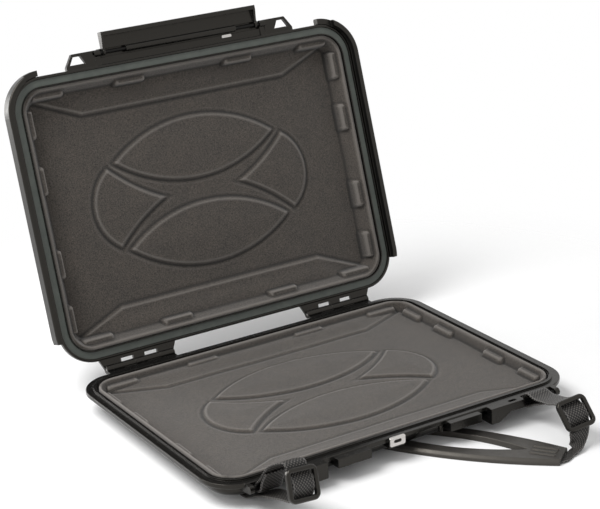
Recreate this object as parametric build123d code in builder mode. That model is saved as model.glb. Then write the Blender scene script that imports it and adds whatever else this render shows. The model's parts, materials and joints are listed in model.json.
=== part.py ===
from build123d import *
from math import cos, radians, sin
import os

os.makedirs("parts", exist_ok=True)

# ---- overall sizes, all in millimetres ----
rim_width = 422.0
rim_depth = 308.0
rim_corner = 38.0
half_width = rim_width / 2
half_depth = rim_depth / 2
foot_height = 8.0
base_depth = 18.0
lid_depth = 42.0
# puts the origin in the middle of the opened case's footprint
frame_y = -16.5
parting_height = foot_height + base_depth
open_angle = 106.8

# ---- clearances ----
seat_gap = 0.3
running_gap = 0.05
swing_gap = 0.5

# ---- shells ----
base_flange = 5.0
lid_flange = 6.0
body_inset = 9.0
cavity_inset = 12.0
base_floor = 3.0
lid_roof = 2.6
base_edge_round = 8.0
lid_edge_round = 12.0

# ---- tongue and seal ----
tongue_outer = 7.7
tongue_inner = 10.7
tongue_rise = 1.8
seal_groove_outer = 3.0
seal_groove_inner = 11.0
seal_groove_depth = 3.5
seal_face = 2.0

# ---- liners ----
base_liner_inset = 13.8
base_liner_lip = 18.0
base_liner_rise = 1.5
base_liner_floor = 10.0
lid_liner_inset = cavity_inset + seat_gap
lid_liner_lip = 17.0
lid_liner_drop = 2.2
lid_liner_floor = 22.0
lid_pad_thick = 7.0
lid_pad_border = 34.0
liner_wall_inset = 25.0
lens_rise = 1.6
lens_half_length = 101.0
lens_offset = 48.0
lens_half_height = 35.0
fan_tip = 46.0
fan_reach = 134.0
fan_horn_x = 110.0
fan_horn_y = 44.0
fan_waist = fan_tip * 1.6
band_start = half_depth - 49.0
band_half = half_width - 85.0
band_end_half = half_width - 28.0
band_rise_base = 4.0
band_rise_lid = 7.0
bar_reach = 28.0
bar_depth = bar_reach / 2
bar_inset = 15.3
bar_round = 4.0
bar_top = 4.0
long_bar_inner = 67.5
long_bar_outer = half_width - 46.0
long_bar_length = 40.0
short_bar_inner = 45.0
short_bar_outer = half_depth - 49.0
short_bar_length = 34.0

# ---- hinge ----
hinge_behind_rim = 10.8
hinge_y = half_depth + hinge_behind_rim
knuckle_radius = 4.5
hinge_pin_radius = 1.6
hinge_first = half_width - 125.0
hinge_last = hinge_first + 81.5
hinge_cuts = (hinge_first + 17.5, hinge_first + 33.5, hinge_first + 46.5, hinge_first + 61.7)
base_knuckles = (hinge_cuts[0:2], hinge_cuts[2:4])
lid_knuckles = ((hinge_first, hinge_cuts[0]), hinge_cuts[1:3], (hinge_cuts[3], hinge_last))
hinge_flare = 7.0
hinge_slot = 8.0
pin_end_gap = 0.4
bore_overrun = 1.0

# ---- front brackets and strap bars of the base ----
bracket_front = half_depth + 8.5
bracket_inner = half_width - 114.0
bracket_outer = bracket_inner + 42.0
bracket_wall = 3.0
bracket_deep = 16.5
bracket_shallow = 8.5
bracket_bend = bracket_inner + 11.0
bracket_step = bracket_inner + 24.0
bracket_hollow = 9.0
strap_hole_x = bracket_inner + 30.0
strap_hole_y = half_depth + 3.0
strap_hole_length = 10.0
strap_hole_width = 3.6
bar_y = half_depth + 6.0
bar_level = 4.0
bar_radius = 2.2
lug_inner = half_width - 33.0
lug_outer = lug_inner + 5.0
lug_radius = 3.9

# ---- guard ledges, post and lock bracket on the base front ----
ledge_inner = 47.0
ledge_outer = bracket_inner - 12.0
ledge_front = half_depth + 8.0
ledge_top = 1.0
ledge_bottom = 10.0
ledge_thick = 2.2
post_x = 41.0
post_radius = 2.4
post_length = 7.0
lock_left = 23.0
lock_right = 5.0
lock_front = half_depth + 4.5
lock_slot = 3.4
lock_thick = 1.6
lock_rise = 2.0
lock_drop = 8.0

# ---- latch ----
pivot_y = half_depth + 12.8
pivot_height = 2.0
pivot_rod_radius = 2.0
pivot_barrel = 3.6
latch_half = half_width - 115.5
latch_free = pivot_y + 21.4
latch_thick = 3.0
latch_lip = 4.6
latch_lip_drop = 5.5
latch_barrel_half = latch_half - 27.5
latch_cheek = 2.4
rod_seat = 7.0
rod_end_gap = 0.2
ear_inner = latch_half + 3.8
ear_outer = ear_inner + 7.2
loop_front = half_depth + 16.3
loop_corner = ear_outer + 25.5
loop_foot = loop_corner + 8.5
loop_bar = 3.2
loop_low = 0.6
loop_high = 5.6
shelf_half = latch_half + 4.5
shelf_front = half_depth + 7.5
shelf_low = 2.5
back_front = half_depth + 17.0
back_low = pivot_height + pivot_barrel + swing_gap
back_thick = 2.0
clip_left = 50.0
clip_right = 62.0
clip_width = 3.0
clip_thick = 1.2

# ---- bumpers on the lid ----
bumper_thick = 6.5
bumper_rise = 9.0
bumper_skirt = 6.5
bumper_front_end = half_width - 36.8
bumper_rear_end = half_depth - 28.5
bumper_skirt_end = half_width - 19.0
bumper_end_cut = 50.0
bumper_gap = 0.6
bumper_round = 2.2

# ---- webbing and buckles ----
web_width = 25.0
web_thick = 1.6
buckle_width = 35.0
buckle_length = 33.0
buckle_thick = 6.2
buckle_corner = 7.0
buckle_window = 26.0
buckle_rail = 5.0
buckle_round = 2.0
buckle_bar = 6.0
buckle_bar_thick = 1.8
buckle_bar_sink = 1.1
bar_middle = (bracket_outer + lug_inner) / 2
left_x = -bar_middle - 2.8
right_x = bar_middle - 5.5

# ---- handle ----
handle_end_x = half_width - 93.5
handle_end_y = -half_depth - 95.0
handle_length = 236.0
handle_end_half = 16.0
handle_mid_half = 31.0
handle_thick = 6.0
handle_bevel = 3.0
handle_eye_start = 35.0
handle_eye_half = 16.0
socket_width = 24.0
socket_depth = 9.0
socket_height = 2.4
tongue_width = socket_width - 2 * seat_gap
ridge_inset = 6.0
ridge_length = 26.0
ridge_width = 3.0
ridge_pitch = 7.0
ridge_rise = 1.2

# ---- feet ----
foot_x = half_width - 101.0
front_foot_y = half_depth - 49.0
rear_foot_y = half_depth - 25.0
foot_length = 34.0
foot_width = 14.0
foot_corner = 5.0

# ---- directions of the opened lid ----
lid_up = Vector(0, sin(radians(open_angle)), cos(radians(open_angle)))
lid_rear = Vector(0, cos(radians(open_angle)), -sin(radians(open_angle)))
hinge_point = Vector(0, hinge_y + frame_y, parting_height)


def placed(x, y, z):
    return Vector(x, y + frame_y, z)


def base_at(level):
    return Plane(origin=placed(0, 0, parting_height + level), x_dir=(1, 0, 0), z_dir=(0, 0, 1))


def base_section(x):
    return Plane(origin=placed(x, 0, parting_height), x_dir=(0, 1, 0), z_dir=(1, 0, 0))


def base_front(y):
    return Plane(origin=placed(0, -y, parting_height), x_dir=(1, 0, 0), z_dir=(0, -1, 0))


def lid_point(x, y, height):
    return hinge_point + Vector(x, 0, 0) + lid_rear * (y - hinge_y) + lid_up * height


def lid_at(height):
    return Plane(origin=lid_point(0, 0, height), x_dir=(1, 0, 0), z_dir=lid_up)


def lid_section(x):
    return Plane(origin=lid_point(x, 0, 0), x_dir=lid_rear, z_dir=(1, 0, 0))


def rim_outline(inset, mode=Mode.ADD):
    RectangleRounded(rim_width - 2 * inset, rim_depth - 2 * inset, rim_corner - inset, mode=mode)


def lens_outline(centre_y):
    tip = lens_half_length
    with BuildLine() as edge:
        ThreePointArc((-tip, centre_y), (0, centre_y + lens_half_height), (tip, centre_y))
        ThreePointArc((tip, centre_y), (0, centre_y - lens_half_height), (-tip, centre_y))
    make_face(edge.edges())


def fan_outline(side):
    with BuildLine() as edge:
        upper_horn = (side * fan_horn_x, fan_horn_y)
        lower_horn = (side * fan_horn_x, -fan_horn_y)
        tip = (side * fan_tip, 0)
        ThreePointArc(lower_horn, (side * fan_reach, 0), upper_horn)
        ThreePointArc(upper_horn, (side * fan_waist, fan_horn_y / 3), tip)
        ThreePointArc(tip, (side * fan_waist, -fan_horn_y / 3), lower_horn)
    make_face(edge.edges())


def embossing():
    lens_outline(lens_offset)
    lens_outline(-lens_offset)
    fan_outline(-1)
    fan_outline(1)


def border_bars():
    for side in (-1, 1):
        for x in (-long_bar_outer, -long_bar_inner, long_bar_inner, long_bar_outer):
            with Locations((x, side * (half_depth - bar_inset - bar_depth / 2))):
                RectangleRounded(long_bar_length, bar_depth, bar_round)
        for y in (-short_bar_outer, -short_bar_inner, short_bar_inner, short_bar_outer):
            with Locations((side * (half_width - bar_inset - bar_depth / 2), y)):
                RectangleRounded(bar_depth, short_bar_length, bar_round)


def band_foot(side, wall):
    Polygon(
        (-band_end_half, side * wall),
        (band_end_half, side * wall),
        (band_half, side * band_start),
        (-band_half, side * band_start),
        align=None,
    )


def band_crest(side, wall):
    Polygon(
        (-band_end_half, side * wall),
        (band_end_half, side * wall),
        (band_half, side * (wall - 1)),
        (-band_half, side * (wall - 1)),
        align=None,
    )


# ---- base shell with tongue, hinge knuckles, brackets, ledges and lugs ----
with BuildPart() as base_shell:
    with BuildSketch(base_at(0)):
        rim_outline(0)
    extrude(amount=-base_flange)
    fillet(base_shell.edges().group_by(Axis.Z)[-1], 0.8)
    fillet(base_shell.edges().group_by(Axis.Z)[0], 1.6)
    with BuildSketch(base_at(-base_flange)):
        rim_outline(body_inset)
    extrude(amount=-(base_depth - base_flange))
    fillet(base_shell.edges().group_by(Axis.Z)[0], base_edge_round)
    with BuildSketch(base_at(0)):
        rim_outline(tongue_outer)
        rim_outline(tongue_inner, mode=Mode.SUBTRACT)
    extrude(amount=tongue_rise)
    for side in (-1, 1):
        # hinge block and its knuckles
        with BuildSketch(base_section(side * (hinge_first + hinge_last) / 2)):
            Polygon(
                (half_depth - 4, -swing_gap),
                (hinge_y - knuckle_radius - swing_gap, -swing_gap),
                (hinge_y - knuckle_radius - swing_gap, -base_flange),
                (half_depth - 4, -base_flange),
                align=None,
            )
        extrude(amount=(hinge_last - hinge_first) / 2, both=True)
        for start, end in base_knuckles:
            with BuildSketch(base_section(side * (start + end) / 2)):
                with Locations((hinge_y, 0)):
                    Circle(knuckle_radius)
                Polygon(
                    (half_depth - 4, -swing_gap),
                    (hinge_y, -swing_gap),
                    (hinge_y, -knuckle_radius),
                    (half_depth - 4, -base_flange),
                    align=None,
                )
            extrude(amount=(end - start) / 2 - swing_gap / 2, both=True)
        # front bracket, hollow from below
        with BuildSketch(base_front(bracket_front)):
            Polygon(
                (side * bracket_inner, 0),
                (side * bracket_outer, 0),
                (side * bracket_outer, -bracket_shallow),
                (side * bracket_step, -bracket_shallow),
                (side * bracket_bend, -bracket_deep),
                (side * bracket_inner, -bracket_deep),
                align=None,
            )
        extrude(amount=-(bracket_front - half_depth + body_inset + 2))
        with BuildSketch(base_at(-bracket_wall)):
            hollow_middle = bracket_front - bracket_wall - bracket_hollow / 2
            with Locations((side * (bracket_inner + bracket_outer) / 2, -hollow_middle)):
                Rectangle(bracket_outer - bracket_inner - 2 * bracket_wall, bracket_hollow)
        extrude(amount=-base_depth, mode=Mode.SUBTRACT)
        with BuildSketch(base_at(0)):
            with Locations((side * strap_hole_x, -strap_hole_y)):
                SlotOverall(strap_hole_length, strap_hole_width)
        extrude(amount=-bracket_wall, mode=Mode.SUBTRACT)
        # lug at the outer end of the strap bar
        with BuildSketch(base_section(side * (lug_inner + lug_outer) / 2)):
            with Locations((-bar_y, -bar_level)):
                Circle(lug_radius)
            Polygon(
                (-bar_y, -bar_level + lug_radius),
                (-half_depth + 3, -bar_level + lug_radius),
                (-half_depth + body_inset + 1, -base_flange - 5),
                (-bar_y, -bar_level - lug_radius),
                align=None,
            )
        extrude(amount=(lug_outer - lug_inner) / 2, both=True)
        # guard ledge
        with BuildSketch(base_section(side * (ledge_inner + ledge_outer) / 2)):
            Polygon(
                (-half_depth + 4, -ledge_top),
                (-ledge_front, -ledge_top),
                (-ledge_front, -ledge_bottom),
                (-ledge_front + ledge_thick, -ledge_bottom),
                (-ledge_front + ledge_thick, -ledge_top - ledge_thick),
                (-half_depth + 4, -ledge_top - ledge_thick),
                align=None,
            )
        extrude(amount=(ledge_outer - ledge_inner) / 2, both=True)
        # end webs that carry the ledge on the wall
        for x in (ledge_inner + ledge_thick / 2, ledge_outer - ledge_thick / 2):
            with BuildSketch(base_section(side * x)):
                Polygon(
                    (-half_depth + body_inset + 1, -ledge_top - 1),
                    (-ledge_front, -ledge_top - 1),
                    (-ledge_front, -ledge_bottom),
                    (-half_depth + body_inset + 1, -ledge_bottom),
                    align=None,
                )
            extrude(amount=ledge_thick / 2, both=True)
        # bores for the hinge pin and the strap bar
        with BuildSketch(base_section(side * (hinge_first + hinge_last) / 2)):
            with Locations((hinge_y, 0)):
                Circle(hinge_pin_radius + running_gap)
        extrude(amount=(hinge_last - hinge_first) / 2 + bore_overrun, both=True, mode=Mode.SUBTRACT)
        with BuildSketch(base_section(side * bar_middle)):
            with Locations((-bar_y, -bar_level)):
                Circle(bar_radius + running_gap)
        extrude(amount=(lug_inner - bracket_outer) / 2 + bracket_wall, both=True, mode=Mode.SUBTRACT)
    # shelf behind the lock bracket, and the small post beside it
    with BuildSketch(base_section(-(lock_left + lock_right) / 2)):
        Polygon(
            (-half_depth + 4, -ledge_top - 1),
            (-lock_front + lock_thick, -ledge_top - 1),
            (-lock_front + lock_thick, -ledge_bottom),
            (-half_depth + body_inset + 1, -ledge_bottom),
            align=None,
        )
    extrude(amount=(lock_left - lock_right) / 2, both=True)
    with BuildSketch(base_at(-base_flange + 1)):
        with Locations((post_x, -half_depth + 1)):
            Circle(post_radius)
    extrude(amount=-post_length)
    # cavity
    with BuildSketch(base_at(0)):
        rim_outline(cavity_inset)
    extrude(amount=-(base_depth - base_floor), mode=Mode.SUBTRACT)
base_shell.part.label = "base_shell"
export_step(base_shell.part, "parts/base_shell.step")

# ---- foam liner of the base ----
with BuildPart() as base_liner:
    with BuildSketch(base_at(base_liner_rise)):
        rim_outline(base_liner_inset)
    extrude(amount=-(base_liner_rise + base_depth - base_floor))
    with BuildSketch(base_at(base_liner_rise)):
        rim_outline(base_liner_lip)
    with BuildSketch(base_at(-base_liner_floor)):
        rim_outline(liner_wall_inset)
    loft(mode=Mode.SUBTRACT)
    with BuildSketch(base_at(-base_liner_floor)):
        border_bars()
    extrude(amount=base_liner_floor - bar_top)
    for side in (-1, 1):
        with BuildSketch(base_at(-base_liner_floor)):
            band_foot(side, half_depth - liner_wall_inset + 2)
        with BuildSketch(base_at(-base_liner_floor + band_rise_base)):
            band_crest(side, half_depth - liner_wall_inset + 2)
        loft(ruled=True)
    with BuildSketch(base_at(-base_liner_floor)):
        embossing()
    extrude(amount=lens_rise)
base_liner.part.label = "base_liner"
export_step(base_liner.part, "parts/base_liner.step")

# ---- rubber feet under the base ----
with BuildPart() as base_feet:
    with BuildSketch(base_at(-base_depth)):
        for side in (-1, 1):
            with Locations((side * foot_x, -front_foot_y), (side * foot_x, rear_foot_y)):
                RectangleRounded(foot_length, foot_width, foot_corner)
    extrude(amount=-foot_height)
    fillet(base_feet.edges().group_by(Axis.Z)[0], 1)
base_feet.part.label = "base_feet"
export_step(base_feet.part, "parts/base_feet.step")

# ---- metal lock bracket on the base front ----
with BuildPart() as lock_bracket:
    with BuildSketch(base_front(lock_front)):
        with Locations((-(lock_left + lock_right) / 2, (lock_rise - lock_drop) / 2)):
            RectangleRounded(lock_left - lock_right, lock_rise + lock_drop, 2)
            SlotOverall((lock_left - lock_right) / 2, lock_slot, mode=Mode.SUBTRACT)
    extrude(amount=-lock_thick)
lock_bracket.part.label = "lock_bracket"
export_step(lock_bracket.part, "parts/lock_bracket.step")

# ---- lid shell with latch ears, front loops and hinge blocks ----
with BuildPart() as lid_shell:
    with BuildSketch(lid_at(0)):
        rim_outline(0)
    extrude(amount=lid_flange)
    fillet(lid_shell.edges().group_by(Axis(lid_point(0, 0, 0), lid_up))[0], 1.8)
    with BuildSketch(lid_at(lid_flange)):
        rim_outline(body_inset)
    extrude(amount=lid_depth - lid_flange)
    fillet(lid_shell.edges().group_by(Axis(lid_point(0, 0, 0), lid_up))[-1], lid_edge_round)
    # shelf that carries the latch barrel
    with BuildSketch(lid_at(shelf_low)):
        with Locations((0, -(shelf_front + half_depth) / 2 + 2)):
            Rectangle(2 * shelf_half, shelf_front - half_depth + 4)
    extrude(amount=lid_flange - shelf_low)
    # back plate that stands behind the latch barrel
    with BuildSketch(lid_section(0)):
        Polygon(
            (-half_depth + body_inset + 1, lid_flange - 1),
            (-shelf_front, lid_flange - 1),
            (-shelf_front, back_low),
            (-back_front, back_low),
            (-back_front, back_low + back_thick),
            (-half_depth + body_inset + 1, back_low + back_thick),
            align=None,
        )
    extrude(amount=shelf_half, both=True)
    for side in (-1, 1):
        # ear for the latch rod
        with BuildSketch(lid_section(side * (ear_inner + ear_outer) / 2)):
            with Locations((-pivot_y, pivot_height)):
                Circle(pivot_barrel)
            Polygon(
                (-half_depth + 3, loop_low),
                (-pivot_y, pivot_height),
                (-pivot_y, pivot_height + pivot_barrel),
                (-half_depth + 3, lid_flange),
                align=None,
            )
        extrude(amount=(ear_outer - ear_inner) / 2, both=True)
        # open loop beside the ear
        with BuildSketch(lid_at(loop_low)):
            Polygon(
                (side * (ear_outer - 1), -half_depth + 3),
                (side * (ear_outer - 1), -loop_front),
                (side * loop_corner, -loop_front),
                (side * loop_foot, -half_depth - loop_bar),
                (side * loop_foot, -half_depth + 3),
                align=None,
            )
            Polygon(
                (side * (loop_corner - 14.5), -half_depth - loop_bar - 1.5),
                (side * (loop_corner - 10), -loop_front + loop_bar),
                (side * (loop_corner - 1), -loop_front + loop_bar),
                (side * (loop_corner + 4), -half_depth - loop_bar - 1.5),
                align=None,
                mode=Mode.SUBTRACT,
            )
        extrude(amount=loop_high - loop_low)
        # hinge block with slots for the knuckles of the base
        with BuildSketch(lid_at(swing_gap)):
            Polygon(
                (side * (hinge_first - hinge_flare), half_depth - 4),
                (side * (hinge_last + hinge_flare), half_depth - 4),
                (side * hinge_last, hinge_y),
                (side * hinge_first, hinge_y),
                align=None,
            )
        extrude(amount=knuckle_radius - swing_gap)
        for start, end in lid_knuckles:
            with BuildSketch(lid_section(side * (start + end) / 2)):
                with Locations((hinge_y, 0)):
                    Circle(knuckle_radius)
            extrude(amount=(end - start) / 2, both=True)
        for start, end in base_knuckles:
            with BuildSketch(lid_at(-knuckle_radius)):
                with Locations((side * (start + end) / 2, hinge_y - hinge_slot / 2 + 3)):
                    Rectangle(end - start, hinge_slot + 6)
            extrude(amount=2 * knuckle_radius, mode=Mode.SUBTRACT)
        # bores for the latch rod and the hinge pin
        with BuildSketch(lid_section(side * (ear_inner + ear_outer) / 2)):
            with Locations((-pivot_y, pivot_height)):
                Circle(pivot_rod_radius + running_gap)
        extrude(amount=(ear_outer - ear_inner) / 2 + bore_overrun, both=True, mode=Mode.SUBTRACT)
        with BuildSketch(lid_section(side * (hinge_first + hinge_last) / 2)):
            with Locations((hinge_y, 0)):
                Circle(hinge_pin_radius + running_gap)
        extrude(amount=(hinge_last - hinge_first) / 2 + bore_overrun, both=True, mode=Mode.SUBTRACT)
    # groove for the seal, then the cavity
    with BuildSketch(lid_at(0)):
        rim_outline(seal_groove_outer)
        rim_outline(seal_groove_inner, mode=Mode.SUBTRACT)
    extrude(amount=seal_groove_depth, mode=Mode.SUBTRACT)
    with BuildSketch(lid_at(0)):
        rim_outline(cavity_inset)
    extrude(amount=lid_depth - lid_roof - lid_edge_round, mode=Mode.SUBTRACT)
    with BuildSketch(lid_at(lid_depth - lid_roof - lid_edge_round)):
        rim_outline(cavity_inset)
    with BuildSketch(lid_at(lid_depth - lid_roof)):
        rim_outline(cavity_inset + lid_edge_round * 0.7)
    loft(mode=Mode.SUBTRACT)
lid_shell.part.label = "lid_shell"
export_step(lid_shell.part, "parts/lid_shell.step")

# ---- seal strip in the lid rim ----
with BuildPart() as lid_seal:
    with BuildSketch(lid_at(seal_face)):
        rim_outline(seal_groove_outer + seat_gap)
        rim_outline(seal_groove_inner - seat_gap, mode=Mode.SUBTRACT)
    extrude(amount=seal_groove_depth - seal_face)
lid_seal.part.label = "lid_seal"
export_step(lid_seal.part, "parts/lid_seal.step")

# ---- foam liner of the lid ----
with BuildPart() as lid_liner:
    with BuildSketch(lid_at(lid_liner_drop)):
        rim_outline(lid_liner_inset)
    extrude(amount=lid_depth - lid_roof - lid_edge_round - lid_liner_drop)
    with BuildSketch(lid_at(lid_depth - lid_roof - lid_edge_round)):
        rim_outline(lid_liner_inset)
    with BuildSketch(lid_at(lid_depth - lid_roof)):
        rim_outline(lid_liner_inset + lid_edge_round * 0.7)
    loft()
    with BuildSketch(lid_at(lid_liner_drop)):
        rim_outline(lid_liner_lip)
    with BuildSketch(lid_at(lid_liner_floor)):
        rim_outline(liner_wall_inset)
    loft(mode=Mode.SUBTRACT)
    with BuildSketch(lid_at(lid_liner_floor)):
        border_bars()
    extrude(amount=-(lid_liner_floor - lid_liner_drop - bar_top))
    for side in (-1, 1):
        with BuildSketch(lid_at(lid_liner_floor)):
            band_foot(side, half_depth - liner_wall_inset + 2)
        with BuildSketch(lid_at(lid_liner_floor - band_rise_lid)):
            band_crest(side, half_depth - liner_wall_inset + 2)
        loft(ruled=True)
    with BuildSketch(lid_at(lid_liner_floor)):
        embossing()
    extrude(amount=-lens_rise)
    # the pad is a moulded shell, open at its back
    with BuildSketch(lid_at(lid_liner_floor + lid_pad_thick)):
        rim_outline(lid_pad_border)
    extrude(amount=lid_depth - lid_roof - lid_liner_floor - lid_pad_thick, mode=Mode.SUBTRACT)
lid_liner.part.label = "lid_liner"
export_step(lid_liner.part, "parts/lid_liner.step")

# ---- bumpers that wrap the lid's sides and front corners ----
for side, name in ((-1, "left"), (1, "right")):
    with BuildPart() as lid_bumper:
        with BuildSketch(lid_at(-bumper_skirt)):
            rim_outline(-bumper_thick)
        extrude(amount=bumper_skirt + bumper_rise)
        levels = lid_bumper.edges().group_by(Axis(lid_point(0, 0, 0), lid_up))
        fillet(levels[0] + levels[-1], bumper_round)
        with BuildSketch(lid_at(-bumper_skirt)):
            rim_outline(-bumper_gap)
        extrude(amount=bumper_skirt, mode=Mode.SUBTRACT)
        with BuildSketch(lid_at(0)):
            rim_outline(-seat_gap)
        extrude(amount=lid_flange + seat_gap, mode=Mode.SUBTRACT)
        with BuildSketch(lid_at(lid_flange)):
            rim_outline(body_inset - seat_gap)
        extrude(amount=bumper_rise, mode=Mode.SUBTRACT)
        # keep one side, from the front end round the corner to the rear end
        with BuildSketch(lid_at(-bumper_skirt)):
            with Locations((side * (half_width + bumper_thick + bumper_front_end) / 2, -half_depth / 2)):
                Rectangle(half_width + bumper_thick - bumper_front_end, half_depth + 2 * bumper_rear_end)
            with Locations((side * (half_width + bumper_thick), bumper_rear_end)):
                Rectangle(1, 1)
        extrude(amount=bumper_skirt + bumper_rise, mode=Mode.INTERSECT)
        # the skirt stops short of the strap bar's lug
        with BuildSketch(lid_at(-bumper_skirt)):
            with Locations((side * (bumper_front_end + bumper_skirt_end) / 2, -half_depth)):
                Rectangle(bumper_skirt_end - bumper_front_end, 2 * bumper_thick + 20)
        extrude(amount=bumper_skirt + loop_low, mode=Mode.SUBTRACT)
        with BuildSketch(lid_at(-bumper_skirt)):
            with Locations((side * half_width, bumper_rear_end + bumper_end_cut / 2)):
                Rectangle(bumper_end_cut, bumper_end_cut)
        extrude(amount=bumper_skirt + bumper_rise, mode=Mode.SUBTRACT)
    lid_bumper.part.label = "lid_bumper_" + name
    export_step(lid_bumper.part, "parts/lid_bumper_" + name + ".step")

# ---- small metal clip under the lid's shelf ----
with BuildPart() as latch_clip:
    with BuildSketch(lid_at(shelf_low)):
        with Locations(((clip_left + clip_right) / 2, -shelf_front + clip_width / 2)):
            RectangleRounded(clip_right - clip_left, clip_width, 0.8)
    extrude(amount=-clip_thick)
latch_clip.part.label = "latch_clip"
export_step(latch_clip.part, "parts/latch_clip.step")

# ---- latch plate with rolled lip, turned up in line with the lid ----
with BuildPart() as latch_plate:
    with BuildSketch(lid_section(0)):
        Polygon(
            (-pivot_y - pivot_barrel, pivot_height),
            (-pivot_y - pivot_barrel, pivot_height + latch_thick),
            (-latch_free, pivot_height + latch_thick),
            (-latch_free, pivot_height + latch_thick - latch_lip_drop - latch_thick),
            (-latch_free + latch_lip, pivot_height + latch_thick - latch_lip_drop - latch_thick),
            (-latch_free + latch_lip, pivot_height),
            align=None,
        )
    extrude(amount=latch_half, both=True)
    with BuildSketch(lid_section(0)):
        with Locations((-pivot_y, pivot_height)):
            Circle(pivot_barrel)
        Polygon(
            (-pivot_y, pivot_height),
            (-pivot_y, pivot_height + pivot_barrel),
            (-pivot_y - pivot_barrel - 2, pivot_height + latch_thick),
            (-pivot_y - pivot_barrel - 2, pivot_height),
            align=None,
        )
    extrude(amount=latch_barrel_half, both=True)
    for side in (-1, 1):
        with BuildSketch(lid_section(side * (latch_half - latch_cheek / 2))):
            with Locations((-pivot_y, pivot_height)):
                Circle(pivot_barrel)
            Polygon(
                (-pivot_y, pivot_height - pivot_barrel / 2),
                (-pivot_y, pivot_height + pivot_barrel),
                (-latch_free, pivot_height + latch_thick),
                (-latch_free, pivot_height - latch_lip_drop),
                (-latch_free + latch_lip, pivot_height - latch_lip_drop),
                align=None,
            )
        extrude(amount=latch_cheek / 2, both=True)
        with BuildSketch(lid_section(side * latch_half)):
            with Locations((-pivot_y, pivot_height)):
                Circle(pivot_rod_radius + running_gap)
        bore_reach = latch_half - latch_barrel_half + rod_seat + bore_overrun
        extrude(amount=bore_reach, both=True, mode=Mode.SUBTRACT)
latch_plate.part.label = "latch_plate"
export_step(latch_plate.part, "parts/latch_plate.step")

# ---- pins and bars, one of each on either side ----
for side, name in ((-1, "left"), (1, "right")):
    with BuildPart() as latch_rod:
        with BuildSketch(lid_section(side * (latch_barrel_half - rod_seat + ear_outer) / 2)):
            with Locations((-pivot_y, pivot_height)):
                Circle(pivot_rod_radius)
        extrude(amount=(ear_outer - latch_barrel_half + rod_seat) / 2 - rod_end_gap, both=True)
    latch_rod.part.label = "latch_rod_" + name
    export_step(latch_rod.part, "parts/latch_rod_" + name + ".step")

    with BuildPart() as hinge_pin:
        with BuildSketch(base_section(side * (hinge_first + hinge_last) / 2)):
            with Locations((hinge_y, 0)):
                Circle(hinge_pin_radius)
        extrude(amount=(hinge_last - hinge_first) / 2 - pin_end_gap, both=True)
    hinge_pin.part.label = "hinge_pin_" + name
    export_step(hinge_pin.part, "parts/hinge_pin_" + name + ".step")

    with BuildPart() as strap_bar:
        with BuildSketch(base_section(side * bar_middle)):
            with Locations((-bar_y, -bar_level)):
                Circle(bar_radius)
        extrude(amount=(lug_inner - bracket_outer) / 2 + bracket_wall - rod_end_gap, both=True)
    strap_bar.part.label = "strap_bar_" + name
    export_step(strap_bar.part, "parts/strap_bar_" + name + ".step")


def shares_of(points):
    # how far along the run each of its points lies, from 0 to 1
    reached = [0]
    for first, second in zip(points, points[1:]):
        reached.append(reached[-1] + (second - first).length)
    return [length / reached[-1] for length in reached]


def crossing(points, turns, share):
    # the strip's crossing direction, between the turns set at numbered points of the run
    places = shares_of(points)
    for (first_point, first), (last_point, last) in zip(turns, turns[1:]):
        if share <= places[last_point]:
            part_way = (share - places[first_point]) / (places[last_point] - places[first_point])
            return first * (1 - part_way) + last * part_way
    return turns[-1][1]


def web_slices(path, points, turns, sections):
    # flat sections carried along a curve; a crossing shorter than 1 is webbing curled narrower
    slices = []
    for step in range(sections + 1):
        share = step / sections
        along = path.tangent_at(share)
        across = crossing(points, turns, share)
        width = web_width * across.length
        across = across.normalized()
        facing = (along - across * along.dot(across)).normalized()
        with BuildSketch(Plane(origin=path.position_at(share), x_dir=across, z_dir=facing)) as slice_sketch:
            Rectangle(width, web_thick)
        slices.append(slice_sketch.sketch)
    return slices


def strip_points(buckle):
    # the strip passes behind the top rail, over the middle bar and behind the bottom rail
    rail = buckle_length / 2 - buckle_rail / 2
    behind = -(buckle_thick + web_thick) / 2 - seat_gap * 3
    ahead = buckle_bar_thick / 2 - buckle_bar_sink + web_thick / 2 + seat_gap
    slot = (rail + buckle_bar / 2) / 2
    return [
        buckle.from_local_coords((0, rail - 1, behind)),
        buckle.from_local_coords((0, slot, (behind + ahead) / 2)),
        buckle.from_local_coords((0, buckle_bar / 2, ahead)),
        buckle.from_local_coords((0, -buckle_bar / 2, ahead)),
        buckle.from_local_coords((0, -slot, (behind + ahead) / 2)),
        buckle.from_local_coords((0, -rail + 1, behind)),
    ]


def buckle_frame(centre, across, upward):
    facing = across.cross(upward)
    return Plane(origin=centre, x_dir=across, z_dir=facing)


def strap_point(x, forward, rise):
    return placed(x, -bar_y - forward, parting_height - bar_level + rise)


left_buckle = buckle_frame(
    strap_point(left_x + 5.9, 51.5, 19.6),
    Vector(0.985, 0.092, -0.127),
    Vector(0.083, 0.346, 0.935),
)
right_buckle = buckle_frame(
    strap_point(right_x - 4.3, 69.4, 10.6),
    Vector(0.995, -0.008, 0.085),
    Vector(-0.066, 0.632, 0.773),
)
across_x = Vector(1, 0, 0)
floor_level = web_thick / 2
handle_end = placed(handle_end_x, handle_end_y, 0)
handle_along = Vector(-0.6, 0.8, 0)
handle_across = Vector(0.8, 0.6, 0)
handle_far = handle_end + handle_along * handle_length
under_start = placed(left_x, -half_depth + 26, floor_level)

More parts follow.
